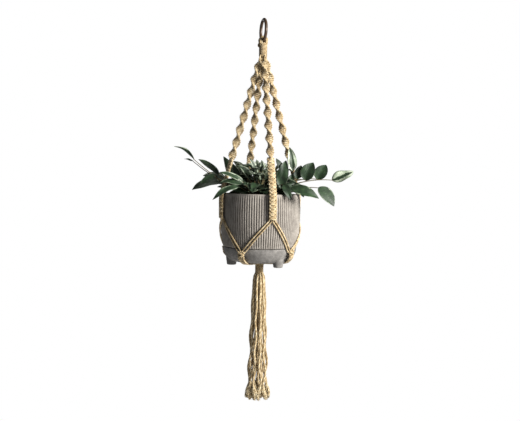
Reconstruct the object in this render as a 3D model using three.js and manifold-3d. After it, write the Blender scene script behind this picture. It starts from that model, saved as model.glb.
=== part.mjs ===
// Hanging macrame planter: a wooden ring, a knotted cord hanger, a ribbed pot in a footed saucer and
// a trailing plant, with a tassel below.
//
// Millimetres, +Z up. The origin is the hang point, at the top of the ring's inside.
// An azimuth is measured from -Y towards +X, so 0 is the front arm and 90 the right arm.
// Radii called "reach" are distances from the Z axis, which the whole hanger hangs along.

import * as THREE from "three";
import { mergeVertices } from "three/addons/utils/BufferGeometryUtils.js";
import Module from "manifold-3d";

// ---- Driving dimensions ----

const CORD_D = 3.4;
const GAP = 0.4; // air left between pieces that touch on the real object

const RING = { tubeR: 3.5, midR: 22.5 };
const LOOP = { innerR: 4.6, thickness: CORD_D, width: 12 };
const HEAD_WRAP = { topZ: -46.6, bottomZ: -77, r: 9.25, neckR: 4, chamfer: 4 };

// The arms and the knots between them, as they hang: not quite evenly spaced.
const ARM_AZIMUTHS = { front: 1, right: 99, back: 186, left: 282 };
const KNOT_AZIMUTHS = { front_right: 37, back_right: 132, back_left: 233, front_left: 318 };
const ARM = { topReach: 6, topZ: -80, rimReach: 89.5, rimZ: -362, knotChangeZ: -296 };
const SPIRAL = { startR: 3.2, r: 8.6, growth: 27 };
const FLAT = { width: 15.5, thickness: 9, reach: 93, midZ: -328, bendZ: -378, endZ: -426 };

const POT = { topZ: -373, rimR: 86, bellyR: 92, seamZ: -488, seamR: 81, wall: 6 };
const POT_BASE = { r: 72, bottomZ: -500, floorZ: -491 };
const SAUCER = { rimR: 80.4, flatR: 57, rimZ: -488.4, bottomZ: -520, insideR: 75.5, floorZ: -500.6 };
const FOOT = { azimuths: [-95, 25, 145], reach: 62, topR: 12.5, bottomR: 10, topZ: -509, bottomZ: -529 };
const SOIL = { topZ: -385, topR: 78.5, bottomZ: -490.5, bottomR: 65.6 };

// Where each cord of a pair starts beside the middle of the band, and ends beside the knot.
const CRADLE_CORDS = [
  { startAside: 7, startZ: -427.8, endAside: 2.8, endZ: -491 },
  { startAside: 2.4, startZ: -429.8, endAside: 8.4, endZ: -494 },
];
const KNOT = { reach: 85, z: -500, halfWidth: 8.5, halfDepth: 5.5, halfHeight: 7.5 };
// Under the saucer, as reach, height and share of the dodge. Two bands dodge sideways past a foot.
const UNDER_ROUTE = [
  [83.5, -509.2, 0], [75.5, -515.6, 0.25], [64, -521, 1], [52, -522.8, 1], [30, -524.4, 0.5],
  [9, -525.6, 0],
];
const UNDER_DODGES = { front_right: 9, back_right: -7, back_left: 0, front_left: 0 };
const UNDER_WIDTH = 13.8;
const LOWER_WRAP = { topZ: -530.2, bottomZ: -551.2, r: 9.5, neckR: 3.5, topChamfer: 6, endChamfer: 3 };

const STRAND = { d: 4.4, topZ: -554, drop: 275, points: 24, steps: 19 };
const STRAND_RINGS = [{ count: 1, reach: 0 }, { count: 5, reach: 4.9 }, { count: 10, reach: 9.8 }];
const STRAND_SPREAD = { early: 0.9, late: 0.3 };
const STRAND_WAVE = { start: 0.1, growth: 3, waves: 4, stagger: 1.7 };

// Each leaf: spray, then azimuth, reach and height of its base and of its tip, then its width.
const LEAVES = [
  ["back_left", -91, 147, -302, -92, 190, -275, 16],
  ["back_left", -97, 92, -331, -95, 136, -301, 26],
  ["back_left", -96, 96, -341, -91, 144, -357, 36],
  ["front_left", -48, 80, -356, -66, 128, -386, 30],
  ["front_left", -56, 36, -345, -62, 72, -312, 30],
  ["front_left", -35, 32, -345, -38, 70, -322, 32],
  ["front_left", -50, 18, -338, -60, 38, -292, 24],
  ["front_left", -30, 55, -352, -25, 92, -370, 28],
  ["front_right", 28, 62, -360, 48, 60, -300, 26],
  ["front_right", 24, 76, -352, 24, 100, -384, 18],
  ["front_right", 32, 84, -360, 44, 142, -380, 32],
  ["front_right", 68, 66, -318, 73, 84, -271, 20],
  ["front_right", 64, 98, -342, 70, 116, -306, 22],
  ["front_right", 73, 128, -340, 79, 146, -309, 22],
  ["front_right", 72, 156, -344, 75, 203, -327, 24],
  ["front_right", 54, 132, -356, 54, 166, -396, 26],
  ["back_right", 110, 92, -345, 112, 142, -325, 28],
  ["back_right", 132, 80, -352, 136, 128, -374, 30],
  ["back_right", 155, 58, -340, 158, 94, -304, 26],
  ["back_left", -155, 60, -340, -152, 96, -300, 26],
  ["back_left", -150, 78, -352, -148, 126, -380, 28],
  ["back_left", -128, 84, -345, -126, 142, -336, 30],
  ["back_left", -112, 92, -350, -108, 152, -368, 26],
  ["back_left", -122, 50, -340, -122, 84, -303, 24],
];
const LEAF_THICKNESS = 3.6;
const STEM = { r: 1.5, hubR: 7, startReach: 18, startZ: -384.4, arch: 6 };
const SPRAYS = { front_left: -45, front_right: 45, back_right: 135, back_left: -135 };
const FACING = { front: -15, back: 165 };

// ---- Materials ----

const wood = new THREE.MeshStandardMaterial({ color: 0x4a3626, roughness: 0.45, metalness: 0 });
const cotton = new THREE.MeshStandardMaterial({ color: 0xd6c49c, roughness: 0.95, metalness: 0 });
const cement = new THREE.MeshStandardMaterial({ color: 0xa59c8e, roughness: 0.85, metalness: 0 });
const saucerCement = new THREE.MeshStandardMaterial({ color: 0xa8a39b, roughness: 0.7, metalness: 0 });
const soilMix = new THREE.MeshStandardMaterial({ color: 0x2f241b, roughness: 1, metalness: 0 });
const leafGreen = new THREE.MeshStandardMaterial({ color: 0x4b6643, roughness: 0.5, metalness: 0 });

// ---- Small helpers ----

const planter = new THREE.Group();
const degrees = THREE.MathUtils.degToRad;
const point = (x, y, z) => new THREE.Vector3(x, y, z);

function around(azimuth, reach, z) {
  const angle = degrees(azimuth);
  return point(reach * Math.sin(angle), -reach * Math.cos(angle), z);
}

function addPart(name, geometry, material, azimuth = 0) {
  const mesh = new THREE.Mesh(geometry, material);
  mesh.name = name;
  mesh.rotation.z = degrees(azimuth);
  planter.add(mesh);
}

// A solid of revolution about Z, from [radius, z] pairs listed from the top down.
function turned(outline, sides) {
  const profile = outline.map(([radius, z]) => new THREE.Vector2(radius, z)).reverse();
  return new THREE.LatheGeometry(profile, sides).rotateX(Math.PI / 2);
}

function polygon(halfWidth, halfDepth, corners) {
  const outline = [];
  for (let i = 0; i < corners; i += 1) {
    const angle = (2 * Math.PI * (i + 0.5)) / corners;
    outline.push(new THREE.Vector2(halfWidth * Math.cos(angle), halfDepth * Math.sin(angle)));
  }
  return new THREE.Shape(outline);
}

// An eight-sided outline whose flat sides stand the given width and depth apart.
function eightSided(width, depth) {
  const corner = Math.cos(Math.PI / 8);
  return polygon(width / 2 / corner, depth / 2 / corner, 8);
}

function swept(section, route, steps) {
  return new THREE.ExtrudeGeometry(section, { extrudePath: route, steps, bevelEnabled: false });
}

function tube(points, radius, sides, steps) {
  return swept(polygon(radius, radius, sides), new THREE.CatmullRomCurve3(points), steps);
}

// ---- Joining and cutting closed meshes ----

const manifold = await Module();
manifold.setup();

function toSolid(geometry) {
  const bare = geometry.clone();
  bare.deleteAttribute("normal");
  bare.deleteAttribute("uv");
  const merged = mergeVertices(bare, 1e-4);
  return new manifold.Manifold(
    new manifold.Mesh({
      numProp: 3,
      vertProperties: new Float32Array(merged.attributes.position.array),
      triVerts: new Uint32Array(merged.index.array),
    }),
  );
}

function toGeometry(solid) {
  const mesh = solid.getMesh();
  const geometry = new THREE.BufferGeometry();
  geometry.setAttribute("position", new THREE.BufferAttribute(mesh.vertProperties, 3));
  geometry.setIndex(new THREE.BufferAttribute(mesh.triVerts, 1));
  return geometry;
}

// Joins closed meshes that overlap into one, and fills any void that they enclose between them.
function joined(geometries) {
  const whole = geometries.map(toSolid).reduce((sum, next) => sum.add(next));
  const shells = whole.decompose().sort((a, b) => b.volume() - a.volume());
  return toGeometry(shells[0]);
}

// ---- Ring, head loop and upper wrap ----

function addRing() {
  const centreZ = RING.tubeR - RING.midR;
  const geometry = new THREE.TorusGeometry(RING.midR, RING.tubeR, 10, 32);
  addPart("hanging_ring", geometry.rotateY(Math.PI / 2).translate(0, 0, centreZ), wood);
}

// The doubled cords pass over the bottom of the ring as one band, shaped like a croquet hoop.
function addHeadLoop() {
  const outerR = LOOP.innerR + LOOP.thickness;
  const axisZ = RING.tubeR - 2 * RING.midR;
  const legBottom = HEAD_WRAP.topZ + GAP - axisZ;
  const hoop = new THREE.Shape();
  hoop.moveTo(outerR, legBottom);
  hoop.absarc(0, 0, outerR, 0, Math.PI, false);
  hoop.lineTo(-outerR, legBottom);
  hoop.lineTo(-LOOP.innerR, legBottom);
  hoop.absarc(0, 0, LOOP.innerR, Math.PI, 0, true);
  hoop.lineTo(LOOP.innerR, legBottom);
  const band = { depth: LOOP.width, steps: 1, bevelEnabled: false, curveSegments: 10 };
  const geometry = new THREE.ExtrudeGeometry(hoop, band).translate(0, 0, -LOOP.width / 2);
  addPart("head_loop", geometry.rotateX(Math.PI / 2).translate(0, 0, axisZ), cotton);
}

function addHeadWrap() {
  const { topZ, bottomZ, r, neckR, chamfer } = HEAD_WRAP;
  const outline = [[0, topZ], [r, topZ], [r, bottomZ + chamfer], [neckR, bottomZ], [0, bottomZ]];
  addPart("head_wrap", turned(outline, 20), cotton);
}

// ---- Arms ----

const armReach = (z) => {
  const { topReach, topZ, rimReach, rimZ } = ARM;
  return topReach + ((rimReach - topReach) * (topZ - z)) / (topZ - rimZ);
};

// Four cords in half knots: a round bar that swells from the gathered cords to its full width.
function addSpiralSennit(side, azimuth) {
  const top = point(0, -ARM.topReach, ARM.topZ);
  const endZ = ARM.knotChangeZ + GAP;
  const end = point(0, -armReach(endZ), endZ);
  const length = top.distanceTo(end);
  const { startR, r, growth } = SPIRAL;
  const geometry = turned([[0, 0], [startR, 0], [r, -growth], [r, -length], [0, -length]], 12);
  const down = point(0, 0, -1);
  const lean = new THREE.Quaternion().setFromUnitVectors(down, end.clone().sub(top).normalize());
  geometry.applyQuaternion(lean).translate(top.x, top.y, top.z);
  addPart(`spiral_sennit_${side}`, geometry, cotton, azimuth);
}

// The same cords in square knots: a flat band that bends over the rim and lies down the pot.
function addFlatSennit(side, azimuth) {
  const route = new THREE.CatmullRomCurve3([
    point(0, -armReach(ARM.knotChangeZ - GAP), ARM.knotChangeZ - GAP),
    point(0, -armReach(FLAT.midZ), FLAT.midZ),
    point(0, -armReach(ARM.rimZ), ARM.rimZ),
    point(0, -FLAT.reach, FLAT.bendZ),
    point(0, -FLAT.reach, (FLAT.bendZ + FLAT.endZ) / 2),
    point(0, -FLAT.reach, FLAT.endZ),
  ]);
  const band = eightSided(FLAT.width, FLAT.thickness);
  addPart(`flat_sennit_${side}`, swept(band, route, 10), cotton, azimuth);
}

// ---- Pot, saucer and soil ----

// The pot's outer radius at a height: a parabola through the rim, the belly and the seam.
function potRadius(z) {
  const t = THREE.MathUtils.clamp((POT.topZ - z) / (POT.topZ - POT.seamZ), 0, 1);
  return (1 - t) ** 2 * POT.rimR + 2 * t * (1 - t) * POT.bellyR + t ** 2 * POT.seamR;
}

function addPot() {
  const wallSteps = 6;
  const outside = [];
  for (let i = 0; i <= wallSteps; i += 1) {
    const z = POT.topZ + ((POT.seamZ - POT.topZ) * i) / wallSteps;
    outside.push([potRadius(z), z]);
  }
  const outline = [
    [0, POT_BASE.floorZ],
    [SOIL.bottomR + GAP, POT_BASE.floorZ],
    [POT.rimR - POT.wall, SOIL.topZ],
    [POT.rimR - POT.wall, POT.topZ],
    ...outside,
    [POT_BASE.r, POT.seamZ],
    [POT_BASE.r, POT_BASE.bottomZ],
    [0, POT_BASE.bottomZ],
  ];
  addPart("ribbed_pot", turned(outline, 48), cement);
}

function addSaucer() {
  const bowlSteps = 6;
  const outside = [];
  for (let i = 0; i <= bowlSteps; i += 1) {
    const angle = (Math.PI / 2) * (i / bowlSteps);
    const radius = SAUCER.flatR + (SAUCER.rimR - SAUCER.flatR) * Math.cos(angle);
    outside.push([radius, SAUCER.rimZ + (SAUCER.bottomZ - SAUCER.rimZ) * Math.sin(angle)]);
  }
  const bowl = turned(
    [[0, SAUCER.floorZ], [SAUCER.insideR, SAUCER.floorZ], [SAUCER.insideR, SAUCER.rimZ], ...outside,
      [0, SAUCER.bottomZ]],
    48,
  );
  const height = FOOT.topZ - FOOT.bottomZ;
  const feet = FOOT.azimuths.map((azimuth) => {
    const foot = new THREE.CylinderGeometry(FOOT.topR, FOOT.bottomR, height, 12).rotateX(Math.PI / 2);
    const place = around(azimuth, FOOT.reach, (FOOT.topZ + FOOT.bottomZ) / 2);
    return foot.translate(place.x, place.y, place.z);
  });
  addPart("saucer", joined([bowl, ...feet]), saucerCement);
}

function addSoil() {
  const { topZ, topR, bottomZ, bottomR } = SOIL;
  addPart("soil", turned([[0, topZ], [topR, topZ], [bottomR, bottomZ], [0, bottomZ]], 48), soilMix);
}

// ---- Cradle under the pot ----

// From a flat sennit two cords part to the nearest knot on each side, round the pot. The cord that
// leaves from the band's edge is the first, and the one beside its middle is the second.
function addCradleCords(side, azimuth, turn, knotAzimuth) {
  const steps = 7;
  const span = ((knotAzimuth - azimuth + 540) % 360) - 180;
  const way = Math.sign(span);
  for (const [number, cord] of CRADLE_CORDS.entries()) {
    const points = [];
    for (let i = 0; i <= steps; i += 1) {
      const t = i / steps;
      const z = THREE.MathUtils.lerp(cord.startZ, cord.endZ, t);
      const reach = potRadius(z) + CORD_D / 2 + GAP;
      const from = way * THREE.MathUtils.radToDeg(cord.startAside / reach);
      const to = span - way * THREE.MathUtils.radToDeg(cord.endAside / reach);
      points.push(around(THREE.MathUtils.lerp(from, to, t), reach, z));
    }
    const name = `cradle_cord_${side}_${turn}${number + 1}`;
    addPart(name, tube(points, CORD_D / 2, 8, steps), cotton, azimuth);
  }
}

function addGatherKnot(name, azimuth) {
  const geometry = new THREE.SphereGeometry(1, 12, 8).rotateX(Math.PI / 2);
  geometry.scale(KNOT.halfWidth, KNOT.halfDepth, KNOT.halfHeight).translate(0, -KNOT.reach, KNOT.z);
  addPart(`gather_knot_${name}`, geometry, cotton, azimuth);
}

// Four cords side by side run from a knot under the saucer to the middle, beside any foot they meet.
function addUnderCords(name, azimuth, dodge) {
  const points = UNDER_ROUTE.map(([reach, z, share]) => around(dodge * share, reach, z));
  const geometry = swept(eightSided(UNDER_WIDTH, CORD_D), new THREE.CatmullRomCurve3(points), 10);
  addPart(`under_cords_${name}`, geometry, cotton, azimuth);
}

function addLowerWrap() {
  const { topZ, bottomZ, r, neckR, topChamfer, endChamfer } = LOWER_WRAP;
  const outline = [
    [0, topZ], [neckR, topZ], [r, topZ - topChamfer],
    [r, bottomZ + endChamfer], [neckR, bottomZ], [0, bottomZ],
  ];
  addPart("lower_wrap", turned(outline, 20), cotton);
}

// ---- Tassel ----

// A strand's centre at a share s of its drop: the bundle opens as it falls, and each strand waves.
function strandPoint(azimuth, reach, phase, s) {
  const spread = 1 + STRAND_SPREAD.early * Math.sqrt(s) + STRAND_SPREAD.late * s ** 3;
  const wave = STRAND_WAVE.start + STRAND_WAVE.growth * s;
  const swing = 2 * Math.PI * STRAND_WAVE.waves * s + phase;
  const place = around(azimuth, reach * spread, STRAND.topZ - STRAND.drop * s);
  return place.add(point(wave * Math.sin(swing), wave * Math.cos(0.7 * swing), 0));
}

function addTassel() {
  let number = 0;
  for (const { count, reach } of STRAND_RINGS) {
    for (let i = 0; i < count; i += 1) {
      number += 1;
      const phase = STRAND_WAVE.stagger * number;
      const points = [];
      for (let k = 0; k <= STRAND.points; k += 1) {
        points.push(strandPoint((360 * i) / count, reach, phase, k / STRAND.points));
      }
      const name = `tassel_strand_${String(number).padStart(2, "0")}`;
      addPart(name, tube(points, STRAND.d / 2, 8, STRAND.steps), cotton);
    }
  }
}

// ---- Plant ----

// A thin blade from base to tip, its upper face turned half-way from the sky to where its spray looks.
function leafBlade(base, tip, width, facing) {
  const along = tip.clone().sub(base);
  const blade = new THREE.SphereGeometry(1, 8, 4);
  blade.scale(width / 2, along.length() / 2 + 2, LEAF_THICKNESS / 2);
  const lengthways = along.normalize();
  const across = lengthways.clone().cross(around(facing, 1, 1)).normalize();
  const face = across.clone().cross(lengthways);
  const middle = base.clone().add(tip).multiplyScalar(0.5);
  return blade.applyMatrix4(new THREE.Matrix4().makeBasis(across, lengthways, face).setPosition(middle));
}

function stem(start, base) {
  const bend = start.clone().lerp(base, 0.5);
  bend.z = Math.max(start.z, base.z) + STEM.arch;
  return swept(polygon(STEM.r, STEM.r, 5), new THREE.QuadraticBezierCurve3(start, bend, base), 4);
}

// The stems of one spray rise from a hub on the soil, in one gap between two arms.
function addSpray(spray, azimuth, facing) {
  const hub = around(azimuth, STEM.startReach, STEM.startZ + STEM.hubR);
  const pieces = [new THREE.SphereGeometry(STEM.hubR, 8, 5).translate(hub.x, hub.y, hub.z)];
  for (const [name, baseTurn, baseReach, baseZ, tipTurn, tipReach, tipZ, width] of LEAVES) {
    if (name !== spray) continue;
    const base = around(baseTurn, baseReach, baseZ);
    const tip = around(tipTurn, tipReach, tipZ);
    pieces.push(stem(hub, base.clone().lerp(tip, 0.08)), leafBlade(base, tip, width, facing));
  }
  addPart(`leaf_spray_${spray}`, joined(pieces), leafGreen);
}

// ---- Assembly ----

addRing();
addHeadLoop();
addHeadWrap();
for (const [side, azimuth] of Object.entries(ARM_AZIMUTHS)) {
  addSpiralSennit(side, azimuth);
  addFlatSennit(side, azimuth);
}
for (const [side, before, after] of [
  ["front", "front_left", "front_right"],
  ["right", "front_right", "back_right"],
  ["back", "back_right", "back_left"],
  ["left", "back_left", "front_left"],
]) {
  addCradleCords(side, ARM_AZIMUTHS[side], "a", KNOT_AZIMUTHS[before]);
  addCradleCords(side, ARM_AZIMUTHS[side], "b", KNOT_AZIMUTHS[after]);
}
addPot();
addSaucer();
addSoil();
for (const [name, azimuth] of Object.entries(KNOT_AZIMUTHS)) {
  addGatherKnot(name, azimuth);
  addUnderCords(name, azimuth, UNDER_DODGES[name]);
}
addLowerWrap();
addTassel();
for (const [spray, azimuth] of Object.entries(SPRAYS)) {
  addSpray(spray, azimuth, spray.startsWith("front") ? FACING.front : FACING.back);
}

export default planter;
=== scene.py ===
"""Looks for the hanging macrame planter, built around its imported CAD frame.

Metres, +Z up. The origin is the hang point. An azimuth is measured from -Y towards +X, and a reach
is a distance from the Z axis, so around(azimuth, reach, z) gives a place in the frame.
"""

import math
import random

import bpy
import numpy as np
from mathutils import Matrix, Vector


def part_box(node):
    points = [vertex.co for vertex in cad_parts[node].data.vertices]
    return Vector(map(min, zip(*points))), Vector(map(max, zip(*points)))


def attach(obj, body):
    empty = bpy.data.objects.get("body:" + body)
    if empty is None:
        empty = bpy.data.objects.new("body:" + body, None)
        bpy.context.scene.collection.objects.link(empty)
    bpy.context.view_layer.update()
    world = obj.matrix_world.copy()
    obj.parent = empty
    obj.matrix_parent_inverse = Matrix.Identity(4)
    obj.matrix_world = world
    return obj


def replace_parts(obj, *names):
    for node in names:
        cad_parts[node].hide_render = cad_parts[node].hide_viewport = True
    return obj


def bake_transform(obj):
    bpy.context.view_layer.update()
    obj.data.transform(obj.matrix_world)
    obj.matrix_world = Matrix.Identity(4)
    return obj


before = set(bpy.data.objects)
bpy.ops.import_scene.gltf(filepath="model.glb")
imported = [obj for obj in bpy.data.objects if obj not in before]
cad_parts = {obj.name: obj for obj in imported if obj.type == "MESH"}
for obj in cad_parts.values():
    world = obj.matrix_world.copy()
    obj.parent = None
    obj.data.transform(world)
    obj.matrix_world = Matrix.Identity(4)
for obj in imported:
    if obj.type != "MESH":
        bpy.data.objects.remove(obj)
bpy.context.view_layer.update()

# ---- Sizes, in metres ----

MM = 0.001
CORD_R = 1.7 * MM
CORD_LAY = 14 * MM  # length in which a cord's plies turn once
STEP = 1.2 * MM  # spacing of the rings along a modelled cord

ARMS = {"front": 1, "right": 99, "back": 186, "left": 282}
KNOTS = {"front_right": 37, "back_right": 132, "back_left": 233, "front_left": 318}
NEIGHBOURS = {
    "front": ("front_left", "front_right"),
    "right": ("front_right", "back_right"),
    "back": ("back_right", "back_left"),
    "left": ("back_left", "front_left"),
}
SPRAYS = {"front_right": 45, "back_right": 135, "back_left": 225, "front_left": 315}

HEAD_WRAP_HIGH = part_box("head_wrap")[1]
LOWER_WRAP_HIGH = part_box("lower_wrap")[1]
POT_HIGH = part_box("ribbed_pot")[1]
SAUCER_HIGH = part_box("saucer")[1]
SOIL_LOW, SOIL_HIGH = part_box("soil")
RING_LOW, RING_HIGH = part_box("hanging_ring")

# The line that every arm follows from the crown over the rim to the band's end, as reach and height
# in millimetres.
ARM_LINE = [
    (6.0, -80), (20.2, -128), (34.5, -176), (48.8, -224), (63.2, -272), (70.4, -296),
    (79.6, -328), (89.5, -361), (93.8, -378), (94.0, -402), (93.6, -427),
]
KNOT_CHANGE = 226 * MM  # length along an arm at which half knots turn into square knots
CROWN_GROWTH = 16 * MM  # length along an arm in which its first knots grow to full size
SPIRAL = {"pitch": 4.3 * MM, "turn": math.radians(-27), "half_width": 7.1 * MM, "layer": 2.8 * MM,
          "cord_r": CORD_R}
FLAT = {"pitch": 3.75 * MM, "turn": 0.0, "half_width": 6.4 * MM, "layer": 2.5 * MM,
        "cord_r": 1.12 * CORD_R}
GATHER = {"pitch": 6.4 * MM, "turn": 0.0, "half_width": 6.2 * MM, "layer": 3.0 * MM, "cord_r": CORD_R}
SPIRAL_START = {"front": 83, "right": 12, "back": 141, "left": 50}  # degrees turned at an arm's top
CORE_R = 1.15 * CORD_R
CORE_PLACE = 0.33  # half the gap between a sennit's two core cords, in half widths

RING_TUBE_R = 3.5 * MM
RING_ROUND = 1.02  # the turned ring's thickness, as a share of the faceted one's
# The cords over the ring: each layer's radius over it, and how far out its legs stand below.
HEAD_LOOPS = {"layers": [(5.5 * MM, 3.2 * MM), (8.2 * MM, 6.2 * MM)], "abreast": 4, "pitch": 3.3 * MM,
              "offset": 0.4 * MM, "low": -54 * MM, "narrowing": 0.8}
WINDING_R = 1.35 * MM
HEAD_WRAP_LOW = -74 * MM
LOWER_WRAP_SPAN = (-548.5 * MM, -532.5 * MM)
TAIL_AZIMUTH = -98
# The loose end at the head wrap, as reach and height in millimetres.
TAIL_LINE = [(7.5, -47), (10.2, -49.5), (10.4, -53), (8, -55)]
CROWN_BEND = {"top": -70 * MM, "fan": 24, "outer": 6.2 * MM, "inner": 4.0 * MM, "bulge": 0.8 * MM}

POT_CURVE = (86 * MM, 92 * MM, 81 * MM)  # rim, belly control and seam radii of the outer wall
POT_SEAM_Z = -488 * MM
POT_INNER_R = 80 * MM
POT_FLOOR = (66 * MM, -491 * MM)  # radius and height of the floor inside
POT_BASE = (72 * MM, -500 * MM)  # radius and height of the underside, inside the saucer
SOIL_FOOT_R = 65.5 * MM
RIBS = 106
RIB_ROWS = 26
RIB_DEPTH = 2.0 * MM
SAUCER_R = 80.4 * MM
SAUCER_FLOOR_Z = -500.7 * MM
SAUCER_BOTTOM = (57 * MM, -520 * MM)  # radius of the flat underside and its height
FEET = {"azimuths": (-95, 25, 145), "reach": 62 * MM, "top": -509 * MM, "bottom": -529 * MM}
AXIS_R = 0.5 * MM  # a turned outline starts and ends this close to the axis

GATHER_REACH = 86.5 * MM
GATHER_TOP = -493.5 * MM
# Under the saucer, as reach and height in millimetres and share of the dodge past a foot.
UNDER_LINE = [
    (83.5, -509, 0), (75.5, -515.6, 0.25), (64, -521, 1),
    (52, -522.8, 1), (30, -524.4, 0.5), (11, -525.6, 0),
]
UNDER_DODGES = {"front_right": 9, "back_right": -7, "back_left": 0, "front_left": 0}  # degrees
UNDER_PITCH = 3.6 * MM  # spacing of the four cords under the saucer

STRAND = {"d": 4.4 * MM, "top": -554 * MM, "drop": 275 * MM, "points": 24}
STRAND_LAY = 34 * MM
STRAND_RINGS = [(1, 0.0), (5, 4.9 * MM), (10, 9.8 * MM)]  # strands in each ring, and its reach
STRAND_SPREAD = {"early": 0.9, "late": 0.3}
STRAND_WAVE = {"start": 0.1 * MM, "growth": 3.0 * MM, "waves": 4, "stagger": 1.7}
TUFT = {"length": 34 * MM, "fibres": 50, "fibre_r": 0.78 * MM, "step": 5 * MM}


def around(azimuth, reach, z):
    angle = math.radians(azimuth)
    return np.array([reach * math.sin(angle), -reach * math.cos(angle), z])


# ---- Camera and lights ----

CAMERA = {"azimuth": -15, "distance": 1.3, "eye": -0.345, "pitch": 3, "roll": 1.0, "lens": 40.9,
          "shift": (-0.0005, 0.0025)}
# Each light: azimuth, reach, height, width of its disk, power and colour. All point at LIT_PLACE.
LIGHTS = {
    "window": (42, 1.6, 0.1, 0.7, 72, (1.0, 0.98, 0.94)),
    "bounce": (-75, 2.2, -0.1, 1.6, 2.6, (0.9, 0.94, 1.0)),
    "far_wall": (172, 2.4, 0.2, 1.8, 26, (0.97, 0.98, 1.0)),
}
LIT_PLACE = Vector((0, 0, -0.4))
FLOOR = {"reach": 0.95, "z": -1.3, "corners": 64}


def make_camera():
    camera = bpy.data.objects.new("camera", bpy.data.cameras.new("camera"))
    bpy.context.scene.collection.objects.link(camera)
    camera.location = around(CAMERA["azimuth"], CAMERA["distance"], CAMERA["eye"])
    camera.rotation_mode = "XYZ"
    look = (90 - CAMERA["pitch"], 0, CAMERA["azimuth"])
    camera.rotation_euler = [math.radians(angle) for angle in look]
    camera.rotation_euler.rotate_axis("Z", math.radians(CAMERA["roll"]))
    camera.data.lens = CAMERA["lens"]
    camera.data.shift_x, camera.data.shift_y = CAMERA["shift"]
    bpy.context.scene.camera = camera


def make_light(name, azimuth, reach, z, size, power, colour):
    data = bpy.data.lights.new(name, "AREA")
    data.shape = "DISK"
    data.size = size
    data.energy = power
    data.color = colour
    lamp = bpy.data.objects.new(name, data)
    bpy.context.scene.collection.objects.link(lamp)
    lamp.visible_camera = False
    lamp.location = around(azimuth, reach, z)
    lamp.rotation_euler = (LIT_PLACE - lamp.location).to_track_quat("-Z", "Y").to_euler()


def make_stage():
    for name, row in LIGHTS.items():
        make_light(name, *row)
    corners = range(FLOOR["corners"])
    rim = [around(360 * k / FLOOR["corners"], FLOOR["reach"], FLOOR["z"]) for k in corners]
    pale = Paint("pale_floor", 0.9, Base_Color=(0.9, 0.9, 0.89, 1))
    new_piece("floor", rim, [tuple(corners)], pale.material)


def make_world():
    """A white background for the camera, and a dim, slightly blue one for everything else."""
    world = bpy.data.worlds.new("studio")
    bpy.context.scene.world = world
    world.use_nodes = True
    nodes, links = world.node_tree.nodes, world.node_tree.links
    seen, light = nodes["Background"], nodes.new("ShaderNodeBackground")
    seen.inputs["Color"].default_value = (1, 1, 1, 1)
    light.inputs["Color"].default_value = (0.93, 0.96, 1.0, 1)
    light.inputs["Strength"].default_value = 0.13
    ray, mix = nodes.new("ShaderNodeLightPath"), nodes.new("ShaderNodeMixShader")
    links.new(ray.outputs["Is Camera Ray"], mix.inputs["Fac"])
    links.new(light.outputs[0], mix.inputs[1])
    links.new(seen.outputs[0], mix.inputs[2])
    links.new(mix.outputs[0], nodes["World Output"].inputs["Surface"])
    bpy.context.scene.view_settings.view_transform = "Standard"


# ---- Materials ----


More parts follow.
